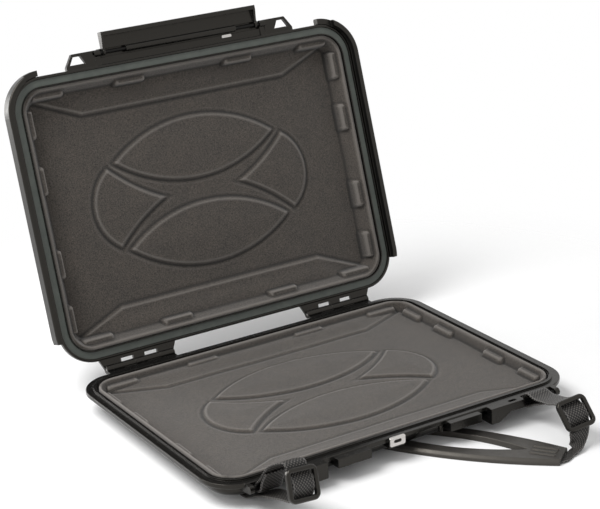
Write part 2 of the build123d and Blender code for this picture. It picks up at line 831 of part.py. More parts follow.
# ---- left webbing: loop on its bar, arch, buckle, then back under the base ----
left_points = [
    strap_point(left_x + 1.0, 13.5, 18.5),
    strap_point(left_x, 7.0, 6.5),
    strap_point(left_x, 3.8, -1.5),
    strap_point(left_x, 0, -4.4),
    strap_point(left_x, -4.0, 0),
    strap_point(left_x, 1.5, 7.0),
    strap_point(left_x + 0.5, 8.5, 16.0),
    strap_point(left_x + 1.5, 16.5, 26.5),
    strap_point(left_x + 4.0, 28.5, 34.0),
    strap_point(left_x + 6.0, 38.5, 36.3),
    *strip_points(left_buckle),
    strap_point(left_x + 4.0, 39.0, 0.5),
    strap_point(left_x + 1.0, 16.0, -4.5),
    strap_point(left_x, 0, -8.8),
    strap_point(left_x, -14.0, -15.5),
    under_start - Vector(0, 10, -1.7),
    under_start,
]
left_turns = [
    (0, across_x),
    (7, across_x),
    (10, left_buckle.x_dir),
    (15, left_buckle.x_dir),
    (18, across_x),
    (21, across_x),
]
with BuildPart() as webbing_left:
    with BuildLine() as left_run:
        Spline(*left_points, tangents=[Vector(0, 0.5, -0.87), Vector(0, 1, -0.02)])
    loft(web_slices(left_run.edges()[0], left_points, left_turns, 64), ruled=True)
webbing_left.part.label = "webbing_left"
export_step(webbing_left.part, "parts/webbing_left.step")

# ---- left webbing on the floor, from under the base to the handle's far end ----
with BuildPart() as webbing_floor_left:
    with BuildSketch(Plane.XY):
        with BuildLine() as floor_run:
            Spline(
                (under_start.X, under_start.Y + seat_gap),
                (handle_far.X - 68, handle_far.Y + 62),
                (handle_far.X - 0.2, handle_far.Y + 0.3),
                tangents=[(0, 1), (0.6, -0.8)],
            )
        trace(floor_run.line, line_width=web_width)
    extrude(amount=web_thick)
    with BuildSketch(Plane(origin=handle_far, x_dir=handle_along, z_dir=(0, 0, 1)).offset(seat_gap)):
        with Locations((-socket_depth / 2 + 1.5, 0)):
            Rectangle(socket_depth + 1, tongue_width)
    extrude(amount=web_thick - seat_gap)
webbing_floor_left.part.label = "webbing_floor_left"
export_step(webbing_floor_left.part, "parts/webbing_floor_left.step")

# ---- right webbing: loose loop on its bar, buckle, then a twist down to the handle's near end ----
right_points = [
    strap_point(right_x, 28.0, 7.0),
    strap_point(right_x, 18.5, 2.6),
    strap_point(right_x, 10.5, -1.2),
    strap_point(right_x, 3.2, -4.9),
    strap_point(right_x, -2.2, -4.4),
    strap_point(right_x, -3.7, 0.5),
    strap_point(right_x, -1.6, 6.6),
    strap_point(right_x, 4.0, 9.0),
    strap_point(right_x, 10.5, 7.6),
    strap_point(right_x, 20.0, 7.6),
    strap_point(right_x - 1.2, 31.0, 9.9),
    strap_point(right_x - 3.8, 43.0, 13.6),
    *strip_points(right_buckle),
    handle_end + Vector(29.8, 12.2, 15.2),
    handle_end + Vector(27.3, 10.2, 9.0),
    handle_end + Vector(21.5, 7.5, 4.0),
    handle_end + Vector(15.0, 4.0, floor_level + 0.8),
    handle_end + Vector(7.0, 0.6, floor_level + 0.6),
    handle_end + Vector(0.2, -0.3, floor_level + 0.7),
]
right_turns = [
    (0, across_x),
    (9, across_x),
    (12, right_buckle.x_dir),
    (17, right_buckle.x_dir),
    (18, Vector(0.98, -0.03, 0)),
    (19, Vector(0.72, -0.2, 0)),
    (20, Vector(0.2, -0.62, 0)),
    (21, Vector(-0.5, -0.66, 0)),
    (22, Vector(-0.6, -0.72, 0)),
    (23, handle_across * -1),
]
with BuildPart() as webbing_right:
    with BuildLine() as right_run:
        Spline(*right_points, tangents=[Vector(0, 0.93, -0.37), Vector(-0.97, 0.2, 0)])
    loft(web_slices(right_run.edges()[0], right_points, right_turns, 80), ruled=True)
webbing_right.part.label = "webbing_right"
export_step(webbing_right.part, "parts/webbing_right.step")

# ---- buckles: a rounded frame with a sunk middle bar ----
for buckle, name in ((left_buckle, "left"), (right_buckle, "right")):
    with BuildPart() as buckle_solid:
        with BuildSketch(buckle.offset(-buckle_thick / 2)):
            RectangleRounded(buckle_width, buckle_length, buckle_corner)
            RectangleRounded(buckle_window, buckle_length - 2 * buckle_rail, 1.0, mode=Mode.SUBTRACT)
        extrude(amount=buckle_thick)
        front_edges = buckle_solid.edges().group_by(Axis(buckle.origin, buckle.z_dir))[-1]
        back_edges = buckle_solid.edges().group_by(Axis(buckle.origin, buckle.z_dir))[0]
        fillet(front_edges + back_edges, buckle_round)
        with BuildSketch(buckle.offset(-buckle_bar_sink - buckle_bar_thick / 2)):
            Rectangle(buckle_window + 1, buckle_bar)
        extrude(amount=buckle_bar_thick)
    buckle_solid.part.label = "buckle_" + name
    export_step(buckle_solid.part, "parts/buckle_" + name + ".step")

# ---- rubber handle: two arms round an eye, bevelled all round, ridged at the ends ----
handle_plane = Plane(origin=handle_end, x_dir=handle_along, z_dir=(0, 0, 1))
handle_middle = handle_length / 2
with BuildPart() as handle_grip:
    with BuildSketch(handle_plane):
        with BuildLine():
            far_arc = ThreePointArc(
                (0, handle_end_half),
                (handle_middle, handle_mid_half),
                (handle_length, handle_end_half),
            )
            Line((handle_length, handle_end_half), (handle_length, -handle_end_half))
            near_arc = ThreePointArc(
                (handle_length, -handle_end_half),
                (handle_middle, -handle_mid_half),
                (0, -handle_end_half),
            )
            Line((0, -handle_end_half), (0, handle_end_half))
        make_face()
    extrude(amount=handle_thick)
    chamfer(handle_grip.edges().group_by(Axis.Z)[-1].sort_by(SortBy.LENGTH)[2:], handle_bevel)
    with BuildSketch(handle_plane):
        with BuildLine():
            ThreePointArc(
                (handle_eye_start, 0),
                (handle_middle, handle_eye_half),
                (handle_length - handle_eye_start, 0),
            )
            ThreePointArc(
                (handle_length - handle_eye_start, 0),
                (handle_middle, -handle_eye_half),
                (handle_eye_start, 0),
            )
        make_face()
    extrude(amount=handle_thick, mode=Mode.SUBTRACT)
    for near_end, inward in ((0, 1), (handle_length, -1)):
        for place in (-1, 0, 1):
            with BuildSketch(handle_plane.offset(handle_thick)):
                with Locations((near_end + inward * (ridge_length / 2 + ridge_inset), place * ridge_pitch)):
                    SlotOverall(ridge_length, ridge_width)
            extrude(amount=ridge_rise)
        with BuildSketch(handle_plane):
            with Locations((near_end + inward * socket_depth / 2, 0)):
                Rectangle(socket_depth, socket_width)
        extrude(amount=socket_height, mode=Mode.SUBTRACT)
handle_grip.part.label = "handle_grip"
export_step(handle_grip.part, "parts/handle_grip.step")
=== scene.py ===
import json
from math import cos, pi, radians, sin, tau

import bmesh
import bpy
import numpy as np
from mathutils import Matrix, Vector


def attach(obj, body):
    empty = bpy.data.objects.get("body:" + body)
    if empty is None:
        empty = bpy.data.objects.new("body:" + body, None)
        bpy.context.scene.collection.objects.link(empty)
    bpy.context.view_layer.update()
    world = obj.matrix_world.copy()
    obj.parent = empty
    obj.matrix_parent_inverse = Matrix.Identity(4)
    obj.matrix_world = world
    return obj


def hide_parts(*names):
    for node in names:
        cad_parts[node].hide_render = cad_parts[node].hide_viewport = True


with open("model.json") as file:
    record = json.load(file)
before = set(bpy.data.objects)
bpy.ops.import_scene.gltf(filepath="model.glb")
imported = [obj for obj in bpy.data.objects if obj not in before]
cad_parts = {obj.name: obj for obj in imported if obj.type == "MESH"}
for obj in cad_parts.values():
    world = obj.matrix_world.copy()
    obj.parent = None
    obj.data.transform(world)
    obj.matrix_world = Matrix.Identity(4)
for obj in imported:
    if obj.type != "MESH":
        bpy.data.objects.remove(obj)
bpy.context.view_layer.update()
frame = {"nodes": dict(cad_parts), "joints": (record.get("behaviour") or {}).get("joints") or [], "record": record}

# ---- sizes of the case, in millimetres unless said otherwise ----
MM = 0.001
half_width = 211.0
half_depth = 154.0
rim_corner = 38.0
frame_y = -16.5
parting_height = 26.0
hinge_y = 164.8
web_half = 12.5
web_half_thick = 0.8

# ---- the camera that took the view, placed in metres ----
camera_place = Vector((-0.9344, -1.5271, 0.8173))
camera_azimuth = radians(-31.21)
camera_height = radians(20.11)
camera_roll = radians(-2.58)
camera_lens = 112.008
camera_sensor = 36
camera_reach = 50

# ---- places on the base and on the lid, which stands open by its joint's whole travel ----
lid_joint = next(joint for joint in frame["joints"] if joint["name"] == "lid_hinge")
open_angle = radians(max(lid_joint["range_deg"]))
base_frame = Matrix.Translation((0, frame_y, parting_height))
lid_rear = Vector((0, cos(open_angle), -sin(open_angle)))
lid_up = Vector((0, sin(open_angle), cos(open_angle)))
lid_turn = Matrix((Vector((1, 0, 0)), lid_rear, lid_up)).transposed().to_4x4()
lid_frame = (
    Matrix.Translation((0, hinge_y + frame_y, parting_height))
    @ lid_turn
    @ Matrix.Translation((0, -hinge_y, 0))
)


def make_camera():
    """The photograph's view: its place, heading, tilt and a small roll."""
    data = bpy.data.cameras.new("camera")
    data.sensor_width = camera_sensor
    data.lens = camera_lens
    data.clip_end = camera_reach
    camera = bpy.data.objects.new("camera", data)
    bpy.context.scene.collection.objects.link(camera)
    back = Vector((
        sin(camera_azimuth) * cos(camera_height),
        -cos(camera_azimuth) * cos(camera_height),
        sin(camera_height),
    ))
    level = Vector((0, 0, 1)).cross(back).normalized()
    rise = back.cross(level)
    right = cos(camera_roll) * level + sin(camera_roll) * rise
    upward = -sin(camera_roll) * level + cos(camera_roll) * rise
    turn = Matrix((right, upward, back)).transposed().to_4x4()
    camera.matrix_world = Matrix.Translation(camera_place) @ turn
    bpy.context.scene.camera = camera


# ---- materials ----
white = (1, 1, 1, 1)
warm_gleam = (1.0, 0.93, 0.82, 1)
# most of a noise lies between these two values
noise_low = 0.3
noise_high = 0.7
# the Mix node's sockets for colour share their names with others, so they go by number
mix_first = 6
mix_last = 7
mix_result = 2


class Finish:
    """A material with its Principled shader, and short calls that add nodes to it."""

    def __init__(self, name, **values):
        self.material = bpy.data.materials.new(name)
        self.material.use_nodes = True
        self.tree = self.material.node_tree
        self.shader = self.tree.nodes["Principled BSDF"]
        for key, value in values.items():
            socket = key.replace("_", " ").title().replace("Ior", "IOR")
            self.shader.inputs[socket].default_value = value
        self.coordinates = self.tree.nodes.new("ShaderNodeTexCoord")

    def add(self, kind, inputs=(), **settings):
        """Adds a node; an input that is another node's socket is linked, any other is set."""
        node = self.tree.nodes.new(kind)
        for name, value in settings.items():
            setattr(node, name, value)
        for socket, value in dict(inputs).items():
            if isinstance(value, bpy.types.NodeSocket):
                self.tree.links.new(value, node.inputs[socket])
            else:
                node.inputs[socket].default_value = value
        return node

    def place(self, stretch=(1, 1, 1)):
        inputs = {"Vector": self.coordinates.outputs["Object"], "Scale": stretch}
        return self.add("ShaderNodeMapping", inputs).outputs["Vector"]

    def noise(self, size, detail=4.0, rough=0.6, stretch=(1, 1, 1)):
        """Noise whose grains are about size millimetres wide."""
        inputs = {
            "Vector": self.place(stretch),
            "Scale": 1 / (size * MM),
            "Detail": detail,
            "Roughness": rough,
        }
        return self.add("ShaderNodeTexNoise", inputs).outputs["Fac"]

    def cells(self, size):
        """Cell pattern whose cells are about size millimetres wide."""
        inputs = {"Vector": self.place(), "Scale": 1 / (size * MM)}
        return self.add("ShaderNodeTexVoronoi", inputs).outputs["Distance"]

    def spread(self, source, low, high, first, last):
        """Maps source from low..high to first..last, kept inside."""
        inputs = {"Value": source, "From Min": low, "From Max": high, "To Min": first, "To Max": last}
        return self.add("ShaderNodeMapRange", inputs).outputs["Result"]

    def vary(self, noise, first, last):
        """Maps the middle of a noise's range to first..last."""
        return self.spread(noise, noise_low, noise_high, first, last)

    def math(self, operation, first, second=0.0):
        return self.add("ShaderNodeMath", {0: first, 1: second}, operation=operation).outputs["Value"]

    def mix(self, share, first, last):
        inputs = {"Factor": share, mix_first: first, mix_last: last}
        return self.add("ShaderNodeMix", inputs, data_type="RGBA").outputs[mix_result]

    def rounded(self, radius):
        """A normal that softens edges as a mould's radius does, radius in millimetres."""
        return self.add("ShaderNodeBevel", {"Radius": radius * MM}, samples=6).outputs["Normal"]

    def edges(self, radius, softness=0.12):
        """One on sharp edges, nought on open faces."""
        straight = self.add("ShaderNodeNewGeometry").outputs["Normal"]
        inputs = {0: self.rounded(radius), 1: straight}
        facing = self.add("ShaderNodeVectorMath", inputs, operation="DOT_PRODUCT").outputs["Value"]
        return self.spread(facing, 1.0, 1.0 - softness, 0.0, 1.0)

    def rubbed(self, radius, patch, low, high, least, most):
        """How much the edges are rubbed, in patches about patch millimetres wide."""
        patches = self.spread(self.noise(patch), low, high, least, most)
        return self.math("MULTIPLY", self.edges(radius), patches)

    def bump(self, height, depth, strength, normal=None):
        """A normal for bumps up to depth millimetres high, on top of another normal if one is given."""
        inputs = {"Height": height, "Distance": depth * MM, "Strength": strength}
        if normal:
            inputs["Normal"] = normal
        return self.add("ShaderNodeBump", inputs).outputs["Normal"]

    def wear(self, colour=None, roughness=None, normal=None):
        """Joins what varies over the surface to the shader, and gives the finished material back."""
        for socket, source in (("Base Color", colour), ("Roughness", roughness), ("Normal", normal)):
            if source:
                self.tree.links.new(source, self.shader.inputs[socket])
        return self.material


def shade(level, warmth):
    """A near-grey colour from the level it has on screen, 0 to 255, a little warm."""
    def linear(value):
        # the standard curve from a screen's level to light
        share = value / 255
        return share / 12.92 if share <= 0.04045 else ((share + 0.055) / 1.055) ** 2.4
    return (linear(level * (1 + warmth)), linear(level), linear(level * (1 - warmth)), 1)


def moulded_plastic(name, level, roughness, specular=0.36, grain=0.25, radius=0.7):
    """Moulded plastic: fine spark texture, uneven gloss, rounded and slightly rubbed edges."""
    finish = Finish(name, specular_ior_level=specular, specular_tint=warm_gleam)
    mottle = finish.vary(finish.noise(18, detail=5), 0.0, 1.0)
    body = finish.mix(mottle, shade(level * 0.9, 0.01), shade(level * 1.1, 0.02))
    rubbed = finish.rubbed(radius, patch=3, low=0.35, high=0.65, least=0.25, most=1.0)
    colour = finish.mix(rubbed, body, shade(level * 3.5, 0.03))
    gloss = finish.vary(finish.noise(7, detail=6), roughness * 0.85, roughness * 1.2)
    spark = finish.noise(grain, detail=2)
    texture = finish.bump(spark, depth=0.02, strength=0.5, normal=finish.rounded(radius))
    return finish.wear(colour, gloss, texture)


def rubber(name, level, roughness, warmth):
    """Moulded rubber: matt, dusty and mottled, with a fine pebble."""
    finish = Finish(name, specular_ior_level=0.55, specular_tint=warm_gleam)
    dust = finish.spread(finish.noise(9, detail=7, rough=0.7), 0.35, 0.7, 0.0, 1.0)
    body = finish.mix(dust, shade(level * 0.93, warmth), shade(level * 1.07, warmth))
    rubbed = finish.rubbed(0.8, patch=4, low=0.4, high=0.6, least=0.2, most=0.9)
    colour = finish.mix(rubbed, body, shade(level * 1.5, warmth))
    gloss = finish.vary(finish.noise(5, detail=4), roughness * 0.85, roughness * 1.15)
    texture = finish.bump(finish.cells(0.7), depth=0.05, strength=0.5, normal=finish.rounded(2.2))
    return finish.wear(colour, gloss, texture)


def sealing_rubber():
    """The lid's seal: smooth grey-green rubber with a faint bloom."""
    plain = (0.066, 0.075, 0.066, 1)
    bloomed = (0.09, 0.101, 0.088, 1)
    finish = Finish("seal_rubber", specular_ior_level=0.45)
    bloom = finish.spread(finish.noise(14, detail=6), 0.35, 0.7, 0.0, 1.0)
    colour = finish.mix(bloom, plain, bloomed)
    gloss = finish.vary(finish.noise(6), 0.42, 0.58)
    grain = finish.noise(0.5, detail=3)
    texture = finish.bump(grain, depth=0.03, strength=0.4, normal=finish.rounded(0.5))
    return finish.wear(colour, gloss, texture)


def liner_cloth():
    """Short-pile fabric on moulded foam: knitted grain, fuzz and a soft sheen."""
    finish = Finish("liner_foam", specular_ior_level=0.2, sheen_weight=0.25, sheen_roughness=0.6)
    knit = finish.noise(0.7, detail=3, rough=0.8)
    fuzz = finish.noise(1.6, detail=5, rough=0.7)
    patches = finish.vary(finish.noise(26, detail=4), 0.0, 1.0)
    coarse = finish.noise(1.4, detail=2, rough=0.8)
    speck = finish.spread(finish.math("ADD", knit, coarse), 0.74, 1.26, 0.0, 1.0)
    dark = finish.mix(patches, shade(30, 0.08), shade(36, 0.09))
    light = finish.mix(patches, shade(78, 0.08), shade(84, 0.09))
    cloth = finish.mix(speck, dark, light)
    # painted shade darkens the pressed creases and a painted highlight lightens the crests, both driven by
    # pointiness; a flat face's pointiness is a half
    bend = finish.add("ShaderNodeNewGeometry").outputs["Pointiness"]
    crease_shaded = finish.mix(finish.spread(bend, 0.46, 0.5, 0.8, 0.0), cloth, shade(22, 0.05))
    # painted highlight on the crests
    colour = finish.mix(finish.spread(bend, 0.505, 0.54, 0.0, 0.55), crease_shaded, shade(126, 0.04))
    gloss = finish.vary(fuzz, 0.8, 0.95)
    height = finish.math("ADD", knit, finish.math("MULTIPLY", fuzz, 1.5))
    return finish.wear(colour, gloss, finish.bump(height, depth=0.3, strength=0.8))


def woven_strap():
    """Woven webbing: a twill whose crowns get a painted highlight and whose hollows get painted shade; the UV map
    is in millimetres.
    """
    twill_pitch = 3.5
    line_inset = 1.3
    finish = Finish("webbing_black", specular_ior_level=0.35)
    parts = finish.add("ShaderNodeSeparateXYZ", {"Vector": finish.coordinates.outputs["UV"]})
    across, along = parts.outputs["X"], parts.outputs["Y"]
    turned_across = finish.math("MULTIPLY", across, pi / twill_pitch)
    turned_along = finish.math("MULTIPLY", along, pi / twill_pitch)
    one = finish.math("SINE", finish.math("ADD", turned_across, turned_along))
    other = finish.math("SINE", finish.math("SUBTRACT", turned_across, turned_along))
    crown = finish.math("MULTIPLY", finish.math("ABSOLUTE", one), finish.math("ABSOLUTE", other))
    yarn = finish.noise(0.35, detail=3, rough=0.7)
    height = finish.math("ADD", crown, finish.math("MULTIPLY", yarn, 0.35))
    # painted light: the weave's crowns are coloured lighter as a painted highlight and its hollows darker as
    # painted shade
    body = finish.mix(finish.spread(height, 0.5, 1.1, 0.0, 1.0), shade(10, 0.02), shade(96, 0.04))
    # a lighter twill line runs just inside either edge
    from_middle = finish.math("ABSOLUTE", across)
    from_line = finish.math("ABSOLUTE", finish.math("SUBTRACT", from_middle, web_half - line_inset))
    on_line = finish.spread(from_line, 0.2, 0.5, 1.0, 0.0)
    line = finish.math("MULTIPLY", on_line, finish.vary(yarn, 0.3, 1.0))
    colour = finish.mix(line, body, shade(120, 0.02))
    gloss = finish.vary(yarn, 0.34, 0.55)
    return finish.wear(colour, gloss, finish.bump(height, depth=0.4, strength=0.9))


def metal(name, level, roughness):
    """Brushed or blackened metal with long scratches."""
    warmth = 0.02
    finish = Finish(name, metallic=1.0)
    scratch = finish.noise(2.0, detail=6, rough=0.7, stretch=(0.1, 1, 1))
    share = finish.vary(scratch, 0.0, 1.0)
    colour = finish.mix(share, shade(level * 0.85, warmth), shade(level, warmth))
    gloss = finish.vary(scratch, roughness * 0.7, roughness * 1.3)
    texture = finish.bump(scratch, depth=0.03, strength=0.4, normal=finish.rounded(0.3))
    return finish.wear(colour, gloss, texture)


def stage_white(level, near, far):
    """A white floor that gives way to the white backdrop between two distances, in metres."""
    finish = Finish("stage_white", roughness=0.9, specular_ior_level=0.0)
    speck = finish.vary(finish.noise(40), 0.0, 1.0)
    lighter = min(1.0, level * 1.01)
    finish.wear(finish.mix(speck, (level, level, level, 1), (lighter, lighter, lighter, 1)))
    away = finish.add("ShaderNodeVectorMath", {0: finish.coordinates.outputs["Object"]}, operation="LENGTH")
    share = finish.spread(away.outputs["Value"], near, far, 0.0, 1.0)
    clear = finish.add("ShaderNodeBsdfTransparent")
    fade = finish.add("ShaderNodeMixShader", {0: share, 1: finish.shader.outputs[0], 2: clear.outputs[0]})
    finish.tree.links.new(fade.outputs[0], finish.tree.nodes["Material Output"].inputs["Surface"])
    return finish.material


# ---- mesh helpers ----
def make_mesh(name, corners, faces):
    """A mesh whose faces all look outward."""
    data = bpy.data.meshes.new(name)
    data.from_pydata(corners, [], faces)
    mesh = bmesh.new()
    mesh.from_mesh(data)
    bmesh.ops.recalc_face_normals(mesh, faces=mesh.faces)
    mesh.to_mesh(data)
    mesh.free()
    return data


def make_object(name, data, material, body):
    """Links a finished mesh, gives it its material and sets it on its body."""
    piece = bpy.data.objects.new(name, data)
    bpy.context.scene.collection.objects.link(piece)
    data.materials.append(material)
    for face in data.polygons:
        face.use_smooth = True
    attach(piece, body)
    return piece


def ease(value, start, end):
    """Rises from nought to one between start and end, level at both."""
    share = np.clip((value - start) / (end - start), 0, 1)
    return share * share * (3 - 2 * share)


def soft_max(first, second, blend):
    """The larger of two, with the crease between them rounded."""
    return (first + second + np.sqrt((first - second) ** 2 + blend ** 2)) / 2


def soft_min(first, second, blend):
    """The smaller of two, with the ridge between them rounded."""
    return -soft_max(-first, -second, blend)


# ---- foam liners ----
class Liner:
    """What differs between the two liners, in millimetres; heights are above the liner's floor."""

    def __init__(self, outline, lip_inset, wall_foot, lip, bars, band_step, band, pad, back):
        self.outline = outline
        self.lip_inset = lip_inset
        self.wall_foot = wall_foot
        self.lip = lip
        self.bars = bars
        self.band_step = band_step
        self.band = band
        self.pad = pad
        self.back = back


base_floor = -10
lid_floor = 22
fine_step = 1.0
coarse_step = 1.7

# the embossing: two lenses with a fan at either side
lens_half_length = 101.0
lens_half_height = 35.0
lens_offset = 48.0
fan_reach = 134.0
fan_tip = 46.0
fan_horn = (110.0, 44.0)
fan_waist = (fan_tip * 1.6, fan_horn[1] / 3)
pad_edge = (-0.7, 2.2)
pad_crown = 0.9
crown_span = (2.0, 30.0)

# the long bands beside the front and rear walls
band_foot = 25.0
band_start = 105.0
band_half = 126.0
band_end_half = 183.0
band_reach = half_depth - band_foot - band_start
band_slant = 0.42
band_edge = (-1.0, 2.4)

# a crease is pressed just outside each edge: how far outside, its half width and its depth
pad_crease = (1.6, 1.7, 1.1)
band_crease = (2.2, 1.8, 0.8)

# the blocks along the walls: their places from the middle, then their half length
long_bars = ((67.5, 165.0), 20.0)
short_bars = ((45.0, 105.0), 17.0)
bar_half_deep = 5.6
bar_corner = 4.0
bar_inset = 20.9
bar_edge = (-0.6, 3.0)
bar_sunk = 1.5

# how widely the wall, the lip and the blocks blend into what is beside them
lip_blend = 0.8
wall_blend = 1.6
bar_blend = 1.0
lip_round = 1.2

# slow unevenness of hand-laid fabric: its rises, its lengths along x and y, and where it starts
broad_rise = 0.22
broad_lengths = (31, 23)
broad_starts = (1.3, 0.4)
narrow_rise = 0.12
narrow_lengths = (13, 17)


def inside_box(x, y, half_x, half_y, corner):
    """How far a point lies inside a box with round corners, negative outside it."""
    over_x = np.abs(x) - (half_x - corner)
    over_y = np.abs(y) - (half_y - corner)
    outside = np.hypot(np.maximum(over_x, 0), np.maximum(over_y, 0))
    return corner - outside - np.minimum(np.maximum(over_x, over_y), 0)


def circle_through(first, second, third):
    """Centre and radius of the circle through three points."""
    rows = np.array([[2 * (second[0] - first[0]), 2 * (second[1] - first[1])],
                     [2 * (third[0] - first[0]), 2 * (third[1] - first[1])]])
    sums = [point[0] ** 2 + point[1] ** 2 for point in (first, second, third)]
    centre = np.linalg.solve(rows, [sums[1] - sums[0], sums[2] - sums[0]])
    return centre, np.hypot(first[0] - centre[0], first[1] - centre[1])


def inside_lens(x, y, middle):
    """How far a point lies inside a lens, negative outside it."""
    radius = (lens_half_length ** 2 + lens_half_height ** 2) / (2 * lens_half_height)
    drop = radius - lens_half_height
    return radius - np.maximum(np.hypot(x, y - middle + drop), np.hypot(x, y - middle - drop))


def inside_fan(x, y):
    """How far a point lies inside one of the two fans, negative outside them."""
    x, y = np.abs(x), np.abs(y)
    horn_x, horn_y = fan_horn
    back, back_radius = circle_through((horn_x, -horn_y), (fan_reach, 0), (horn_x, horn_y))
    edge, edge_radius = circle_through((horn_x, horn_y), fan_waist, (fan_tip, 0))
    from_back = back_radius - np.hypot(x - back[0], y - back[1])
    from_edge = np.hypot(x - edge[0], y - edge[1]) - edge_radius
    return np.minimum(from_back, from_edge)


def inside_bars(x, y):
    """How far a point lies inside the nearest block along the wall, negative outside them."""
    inside = []
    for along, off, half_room, (places, half_long) in (
        (np.abs(x), np.abs(y), half_depth, long_bars),
        (np.abs(y), np.abs(x), half_width, short_bars),
    ):
        for place in places:
            from_middle = off - (half_room - bar_inset)
            inside.append(inside_box(along - place, from_middle, half_long, bar_half_deep, bar_corner))
    return np.maximum.reduce(inside)


def crease(inside, off, half, deep):
    """A soft groove that runs a little outside an edge."""
    return deep * np.exp(-((inside + off) / half) ** 2)


def liner_height(x, y, liner):
    """The fabric's height above the liner's floor."""
    # raised pads of the embossing, crowned a little
    lenses = np.maximum(inside_lens(x, y, lens_offset), inside_lens(x, y, -lens_offset))
    pads = np.maximum(lenses, inside_fan(x, y))
    floor = liner.pad * ease(pads, *pad_edge) + pad_crown * ease(pads, *crown_span)
    floor = floor - crease(pads, *pad_crease)
    # long bands that rise towards the front and rear walls
    limit = band_half + (np.abs(y) - band_start) * (band_end_half - band_half) / band_reach
    in_band = np.minimum(np.abs(y) - band_start, (limit - np.abs(x)) * band_slant)
    floor = floor + liner.band_step * ease(in_band, *band_edge) - crease(in_band, *band_crease)
    floor = floor + (liner.band - liner.band_step) * ease(in_band, band_edge[1], band_reach)
    broad_x = np.sin(x / broad_lengths[0] + broad_starts[0])
    broad_y = np.sin(y / broad_lengths[1] + broad_starts[1])
    narrow = np.sin(x / narrow_lengths[0] - y / narrow_lengths[1])
    floor = floor + broad_rise * broad_x * broad_y + narrow_rise * narrow
    # wall, lip and blocks
    inset = inside_box(x, y, half_width, half_depth, rim_corner)
    slope = liner.lip / (liner.wall_foot - liner.lip_inset)
    wall = soft_min(liner.lip, liner.lip - (inset - liner.lip_inset) * slope, lip_blend)
    blocks = (liner.bars + bar_sunk) * ease(inside_bars(x, y), *bar_edge) - bar_sunk
    height = soft_max(soft_max(floor, wall, wall_blend), blocks, bar_blend)
    # the lip's outer edge is rounded
    fall = np.clip(lip_round - (inset - liner.outline), 0, lip_round)
    return height - (lip_round - np.sqrt(lip_round ** 2 - fall ** 2))


def grid_line(half, corner):
    """Places along one side, close together at the ends, with one where the corner begins."""
    inner = np.linspace(0, half - corner, int((half - corner) / coarse_step) + 1)
    outer = np.linspace(half - corner, half, int(corner / fine_step) + 1)
    part = np.concatenate([inner[:-1], outer])
    return np.concatenate([-part[:0:-1], part])


def make_liner(name, liner, place, facing, material, body):
    """A closed skin: the shaped face, its edge turned back, and a flat back."""
    half_x, half_y = half_width - liner.outline, half_depth - liner.outline
    corner = rim_corner - liner.outline
    x, y = np.meshgrid(grid_line(half_x, corner), grid_line(half_y, corner))
    # square corners of the grid are pressed into round ones
    u = np.clip((np.abs(x) - (half_x - corner)) / corner, 0, 1)
    v = np.clip((np.abs(y) - (half_y - corner)) / corner, 0, 1)
    in_corner = (u > 0) & (v > 0)
    x = np.where(in_corner, np.sign(x) * (half_x - corner + corner * u * np.sqrt(1 - v * v / 2)), x)
    y = np.where(in_corner, np.sign(y) * (half_y - corner + corner * v * np.sqrt(1 - u * u / 2)), y)
    z = liner_height(x, y, liner)
    rows, columns = x.shape
    points = np.stack([x.ravel(), y.ravel(), z.ravel()], axis=1)
    faces = []
    for row in range(rows - 1):
        for column in range(columns - 1):
            first = row * columns + column
            faces.append((first, first + 1, first + columns + 1, first + columns))
    # the border runs once round the grid, and each ring of the edge follows it
    top, bottom = range(columns), range((rows - 1) * columns, rows * columns)
    border = list(top) + [row * columns + columns - 1 for row in range(1, rows)]
    border += list(reversed(bottom))[1:] + [row * columns for row in range(rows - 2, 0, -1)]
    border_x, border_y = points[border, 0], points[border, 1]
    outward = np.stack([np.abs(border_x) - (half_x - corner), np.abs(border_y) - (half_y - corner)], axis=1)
    outward = np.maximum(outward, 0)
    outward /= np.linalg.norm(outward, axis=1)[:, None]
    last_ring = border
    for inward, level in liner.back:
        ring_x = border_x - np.sign(border_x) * outward[:, 0] * inward
        ring_y = border_y - np.sign(border_y) * outward[:, 1] * inward
        ring = list(range(len(points), len(points) + len(border)))
        points = np.concatenate([points, np.stack([ring_x, ring_y, np.full(len(border), level)], axis=1)])
        for index in range(len(border)):
            after = (index + 1) % len(border)
            faces.append((last_ring[after], last_ring[index], ring[index], ring[after]))
        last_ring = ring
    faces.append(tuple(last_ring))
    points[:, 2] *= facing
    data = make_mesh(name, [place @ Vector(point) * MM for point in points.tolist()], faces)
    piece = make_object(name, data, material, body)
    return piece


# ---- webbing ----
bar_y = 160.0
bar_level = 4.0
left_x = -161.3
right_x = 153.0
seat_gap = 0.3
buckle_length = 33.0
buckle_thick = 6.2
buckle_rail = 5.0
buckle_bar = 6.0
buckle_bar_thick = 1.8
buckle_bar_sink = 1.1
handle_end = Vector((117.5, -249.0 + frame_y, 0))
handle_along = Vector((-0.6, 0.8, 0))
handle_across = Vector((0.8, 0.6, 0))
handle_length = 236.0
handle_far = handle_end + handle_along * handle_length
floor_level = 0.9
under_start = Vector((left_x, -128 + frame_y, floor_level))
across_x = Vector((1, 0, 0))

# how the strip is cut and how its weave shows in its outline
ring_step = 0.6
curve_cuts = 200
rib_pitch = 2.4
rib_share = 0.07
selvedge_rise = 0.12


def strap_point(x, forward, rise):
    """A place in front of the strap bars and above their level."""
    return Vector((x, frame_y - bar_y - forward, parting_height - bar_level + rise))


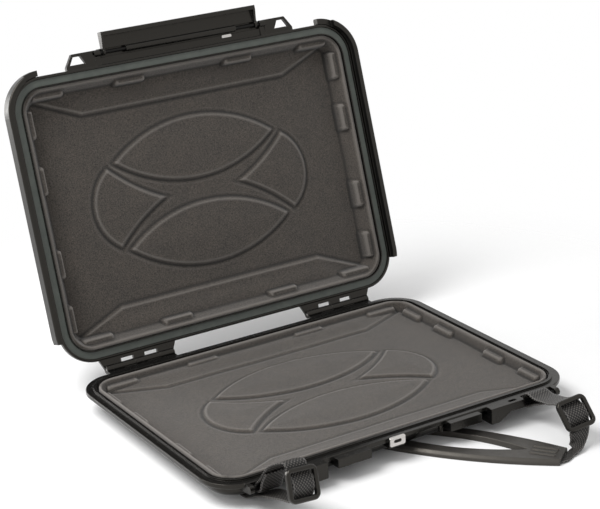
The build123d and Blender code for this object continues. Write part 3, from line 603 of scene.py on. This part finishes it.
class Buckle:
    """Where a buckle sits: its centre, its crossing direction and its own up."""

    def __init__(self, centre, across, upward):
        self.centre = centre
        self.across = Vector(across).normalized()
        self.facing = self.across.cross(Vector(upward)).normalized()
        self.upward = self.facing.cross(self.across)

    def at(self, x, y, z):
        return self.centre + self.across * x + self.upward * y + self.facing * z

    def strip(self):
        """Behind the top rail, over the middle bar, behind the bottom rail."""
        rail = buckle_length / 2 - buckle_rail / 2
        behind = -buckle_thick / 2 - web_half_thick - seat_gap * 3
        ahead = buckle_bar_thick / 2 - buckle_bar_sink + web_half_thick + seat_gap
        slot = (rail + buckle_bar / 2) / 2
        middle = (behind + ahead) / 2
        stops = ((rail - 1, behind), (slot, middle), (buckle_bar / 2, ahead))
        return [self.at(0, y, z) for y, z in stops] + [self.at(0, -y, z) for y, z in reversed(stops)]


left_buckle = Buckle(
    strap_point(left_x + 5.9, 51.5, 19.6), across=(0.985, 0.092, -0.127), upward=(0.083, 0.346, 0.935)
)
right_buckle = Buckle(
    strap_point(right_x - 4.3, 69.4, 10.6), across=(0.995, -0.008, 0.085), upward=(-0.066, 0.632, 0.773)
)


def smooth_line(points, start, end, step):
    """A line through the points with even bending, set at equal steps along its length."""
    knots = np.array([list(point) for point in points], float)
    spans = np.linalg.norm(np.diff(knots, axis=0), axis=1)
    count = len(knots)
    rows = np.zeros((count, count))
    sums = np.zeros((count, 3))
    rows[0, 0] = rows[-1, -1] = 1
    sums[0], sums[-1] = Vector(start).normalized(), Vector(end).normalized()
    for i in range(1, count - 1):
        before, after = spans[i - 1], spans[i]
        rows[i, i - 1], rows[i, i], rows[i, i + 1] = after, 2 * (before + after), before
        rise_before = after * (knots[i] - knots[i - 1]) / before
        rise_after = before * (knots[i + 1] - knots[i]) / after
        sums[i] = 3 * (rise_before + rise_after)
    slopes = np.linalg.solve(rows, sums)
    fine = []
    for i, span in enumerate(spans):
        t = np.linspace(0, 1, curve_cuts, endpoint=False)[:, None]
        fine.append(
            (2 * t ** 3 - 3 * t ** 2 + 1) * knots[i] + (t ** 3 - 2 * t ** 2 + t) * span * slopes[i]
            + (3 * t ** 2 - 2 * t ** 3) * knots[i + 1] + (t ** 3 - t ** 2) * span * slopes[i + 1]
        )
    fine = np.concatenate(fine + [knots[-1:]])
    run = np.concatenate([[0], np.cumsum(np.linalg.norm(np.diff(fine, axis=0), axis=1))])
    stops = np.linspace(0, run[-1], int(run[-1] / step) + 1)
    return np.stack([np.interp(stops, run, fine[:, axis]) for axis in range(3)], axis=1), stops


def crossing(places, turns, share, forward):
    """The strip's crossing direction, between the turns set at numbered points; level without turns."""
    if not turns:
        return Vector((forward.y, -forward.x, 0))
    for (first_point, first), (last_point, last) in zip(turns, turns[1:]):
        if share <= places[last_point]:
            part_way = (share - places[first_point]) / (places[last_point] - places[first_point])
            return first * (1 - part_way) + last * part_way
    return turns[-1][1]


def strip_profile():
    """The strip's section: flat, with thin rounded edges."""
    half = [0, 0.2, 0.45, 0.7, 0.88, 0.95, 0.985, 1]
    across = [-a for a in half[:0:-1]] + half
    top = [(a * web_half, web_half_thick * (1 - abs(a) ** 14) ** 0.5) for a in across]
    return top + [(a, -t) for a, t in reversed(top[1:-1])]


def make_webbing(name, points, start, end, turns, nodes, material):
    """A woven strip carried along its line, ribbed at the weave's pitch."""
    line, stops = smooth_line(points, start, end, ring_step)
    reached = np.cumsum([0] + [(after - before).length for before, after in zip(points, points[1:])])
    places = reached / reached[-1]
    along = np.gradient(line, axis=0)
    profile = strip_profile()
    corners, faces, weave = [], [], []
    for index, (centre, run) in enumerate(zip(line, stops)):
        forward = Vector(along[index]).normalized()
        across = crossing(places, turns, run / stops[-1], forward)
        # a crossing shorter than one narrows the strip
        width = across.length
        across.normalize()
        facing = (forward - across * forward.dot(across)).normalized().cross(across)
        rib = 1 + rib_share * sin(run / rib_pitch * tau)
        for a, t in profile:
            selvedge = selvedge_rise * sin(run / rib_pitch * tau) * (abs(a) / web_half) ** 6
            side = 1 if a > 0 else -1
            corners.append((Vector(centre) + across * (a * width + side * selvedge) + facing * t * rib) * MM)
            weave.append((a, run))
    count = len(profile)
    for ring in range(len(line) - 1):
        for spot in range(count):
            first, after = ring * count + spot, ring * count + (spot + 1) % count
            faces.append((first, after, after + count, first + count))
    faces.append(tuple(range(count)))
    faces.append(tuple(range(len(corners) - 1, len(corners) - 1 - count, -1)))
    data = make_mesh(name, corners, faces)
    chart = data.uv_layers.new(name="weave")
    for loop in data.loops:
        chart.data[loop.index].uv = weave[loop.vertex_index]
    piece = make_object(name, data, material, "base")
    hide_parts(*nodes)


def make_straps(material):
    """The two straps and the left one's run under the case, with the points of the CAD solids."""
    left = [
        (1, 13.5, 18.5), (0, 7, 6.5), (0, 3.8, -1.5), (0, 0, -4.4), (0, -4, 0), (0, 1.5, 7),
        (0.5, 8.5, 16), (1.5, 16.5, 26.5), (4, 28.5, 34), (6, 38.5, 36.3),
    ]
    under = [(4, 39, 0.5), (1, 16, -4.5), (0, 0, -8.8), (0, -14, -15.5)]
    make_webbing(
        "strap_left",
        [strap_point(left_x + aside, forward, rise) for aside, forward, rise in left]
        + left_buckle.strip()
        + [strap_point(left_x + aside, forward, rise) for aside, forward, rise in under]
        + [under_start - Vector((0, 10, -1.7)), under_start],
        (0, 0.5, -0.87), (0, 1, -0.02),
        [(0, across_x), (7, across_x), (10, left_buckle.across), (15, left_buckle.across), (18, across_x),
         (21, across_x)],
        ["webbing_left"], material,
    )
    right = [
        (0, 28, 7), (0, 18.5, 2.6), (0, 10.5, -1.2), (0, 3.2, -4.9), (0, -2.2, -4.4), (0, -3.7, 0.5),
        (0, -1.6, 6.6), (0, 4, 9), (0, 10.5, 7.6), (0, 20, 7.6), (-1.2, 31, 9.9), (-3.8, 43, 13.6),
    ]
    twist = [
        (29.8, 12.2, 15.2), (27.3, 10.2, 9), (21.5, 7.5, 4), (15, 4, 1.7), (7, 0.6, 1.5), (0.2, -0.3, 1.6),
    ]
    make_webbing(
        "strap_right",
        [strap_point(right_x + aside, forward, rise) for aside, forward, rise in right]
        + right_buckle.strip()
        + [handle_end + Vector(step) for step in twist],
        (0, 0.93, -0.37), (-0.97, 0.2, 0),
        [(0, across_x), (9, across_x), (12, right_buckle.across), (17, right_buckle.across),
         (18, Vector((0.98, -0.03, 0))), (19, Vector((0.72, -0.2, 0))), (20, Vector((0.2, -0.62, 0))),
         (21, Vector((-0.5, -0.66, 0))), (22, Vector((-0.6, -0.72, 0))), (23, -handle_across)],
        ["webbing_right"], material,
    )
    make_webbing(
        "strap_floor",
        [under_start + Vector((0, seat_gap, 0)), handle_far + Vector((-68, 62, floor_level)),
         handle_far + Vector((-0.2, 0.3, floor_level)), handle_far + Vector((4.2, -5.6, floor_level + 0.1))],
        (0, 1, 0), (0.6, -0.8, 0), None,
        ["webbing_floor_left"], material,
    )


# ---- stage and light ----
def make_floor():
    bpy.ops.mesh.primitive_plane_add(size=4, location=(0, 0, 0))
    floor = bpy.context.object
    floor.name = "floor"
    floor.data.materials.append(stage_white(level=0.95, near=0.3, far=0.66))


def make_world(ambient):
    """A backdrop that is white to the camera and in reflections, and dimmer as a light."""
    world = bpy.data.worlds.new("studio")
    bpy.context.scene.world = world
    world.use_nodes = True
    nodes, links = world.node_tree.nodes, world.node_tree.links
    nodes.clear()
    path = nodes.new("ShaderNodeLightPath")
    seen = path.outputs["Is Camera Ray"]
    for kind in ("Is Glossy Ray", "Is Transmission Ray"):
        either = nodes.new("ShaderNodeMath")
        either.operation = "MAXIMUM"
        links.new(seen, either.inputs[0])
        links.new(path.outputs[kind], either.inputs[1])
        seen = either.outputs[0]
    choose = nodes.new("ShaderNodeMixShader")
    links.new(seen, choose.inputs[0])
    for socket, strength in ((1, ambient), (2, 1.0)):
        glow = nodes.new("ShaderNodeBackground")
        glow.inputs["Strength"].default_value = strength
        glow.inputs["Color"].default_value = white
        links.new(glow.outputs[0], choose.inputs[socket])
    out = nodes.new("ShaderNodeOutputWorld")
    links.new(choose.outputs[0], out.inputs["Surface"])


def make_lamp(name, place, aim, size, power):
    """A rectangular lamp aimed at a point, in metres and watts."""
    data = bpy.data.lights.new(name, "AREA")
    data.shape = "RECTANGLE"
    data.size, data.size_y = size
    data.energy = power
    lamp = bpy.data.objects.new(name, data)
    bpy.context.scene.collection.objects.link(lamp)
    turn = (Vector(aim) - Vector(place)).to_track_quat("-Z", "Y").to_matrix().to_4x4()
    lamp.matrix_world = Matrix.Translation(place) @ turn


# ---- the scene ----
make_camera()
finishes = {
    "shell_black": moulded_plastic("shell_black", level=12, roughness=0.24),
    "rubber_black": rubber("rubber_black", level=48, roughness=0.38, warmth=0.04),
    "seal_rubber": sealing_rubber(),
    "buckle_plastic": moulded_plastic("buckle_plastic", level=16, roughness=0.22, specular=0.38, radius=0.8),
    "bumper_plastic": moulded_plastic("bumper_plastic", level=14, roughness=0.32, grain=0.4),
    "steel": metal("steel", level=205, roughness=0.28),
    "dark_steel": metal("dark_steel", level=38, roughness=0.35),
    "liner_foam": liner_cloth(),
    "webbing_black": woven_strap(),
}
for entry in frame["record"]["subparts"]:
    node = frame["nodes"][entry["node"]]
    node.data.materials.clear()
    node.data.materials.append(finishes[entry["material_slot"]])

base_shape = Liner(
    outline=13.8, lip_inset=16.2, wall_foot=20.0, lip=11.5, bars=6.0, band_step=1.6, band=4.0, pad=2.2,
    back=[(0.0, -4.6)],
)
lid_shape = Liner(
    outline=12.3, lip_inset=16.0, wall_foot=25.0, lip=19.8, bars=15.8, band_step=3.0, band=7.0, pad=2.2,
    back=[(0.0, -5.0), (8.4, -17.0)],
)
base_liner = make_liner(
    "liner_base", base_shape, base_frame @ Matrix.Translation((0, 0, base_floor)), 1,
    finishes["liner_foam"], "base",
)
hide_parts("base_liner")
lid_liner = make_liner(
    "liner_lid", lid_shape, lid_frame @ Matrix.Translation((0, 0, lid_floor)), -1,
    finishes["liner_foam"], "lid",
)
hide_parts("lid_liner")
make_straps(finishes["webbing_black"])
make_floor()
make_world(ambient=0.66)
make_lamp("lamp_over", place=(-0.85, 0.1, 1.4), aim=(0, -0.05, 0.1), size=(0.8, 0.8), power=19)
make_lamp("lamp_rim", place=(-0.9, 1.1, 0.3), aim=(-0.1, 0, 0.08), size=(1.0, 0.5), power=9)

bpy.context.scene.view_settings.view_transform = "Standard"
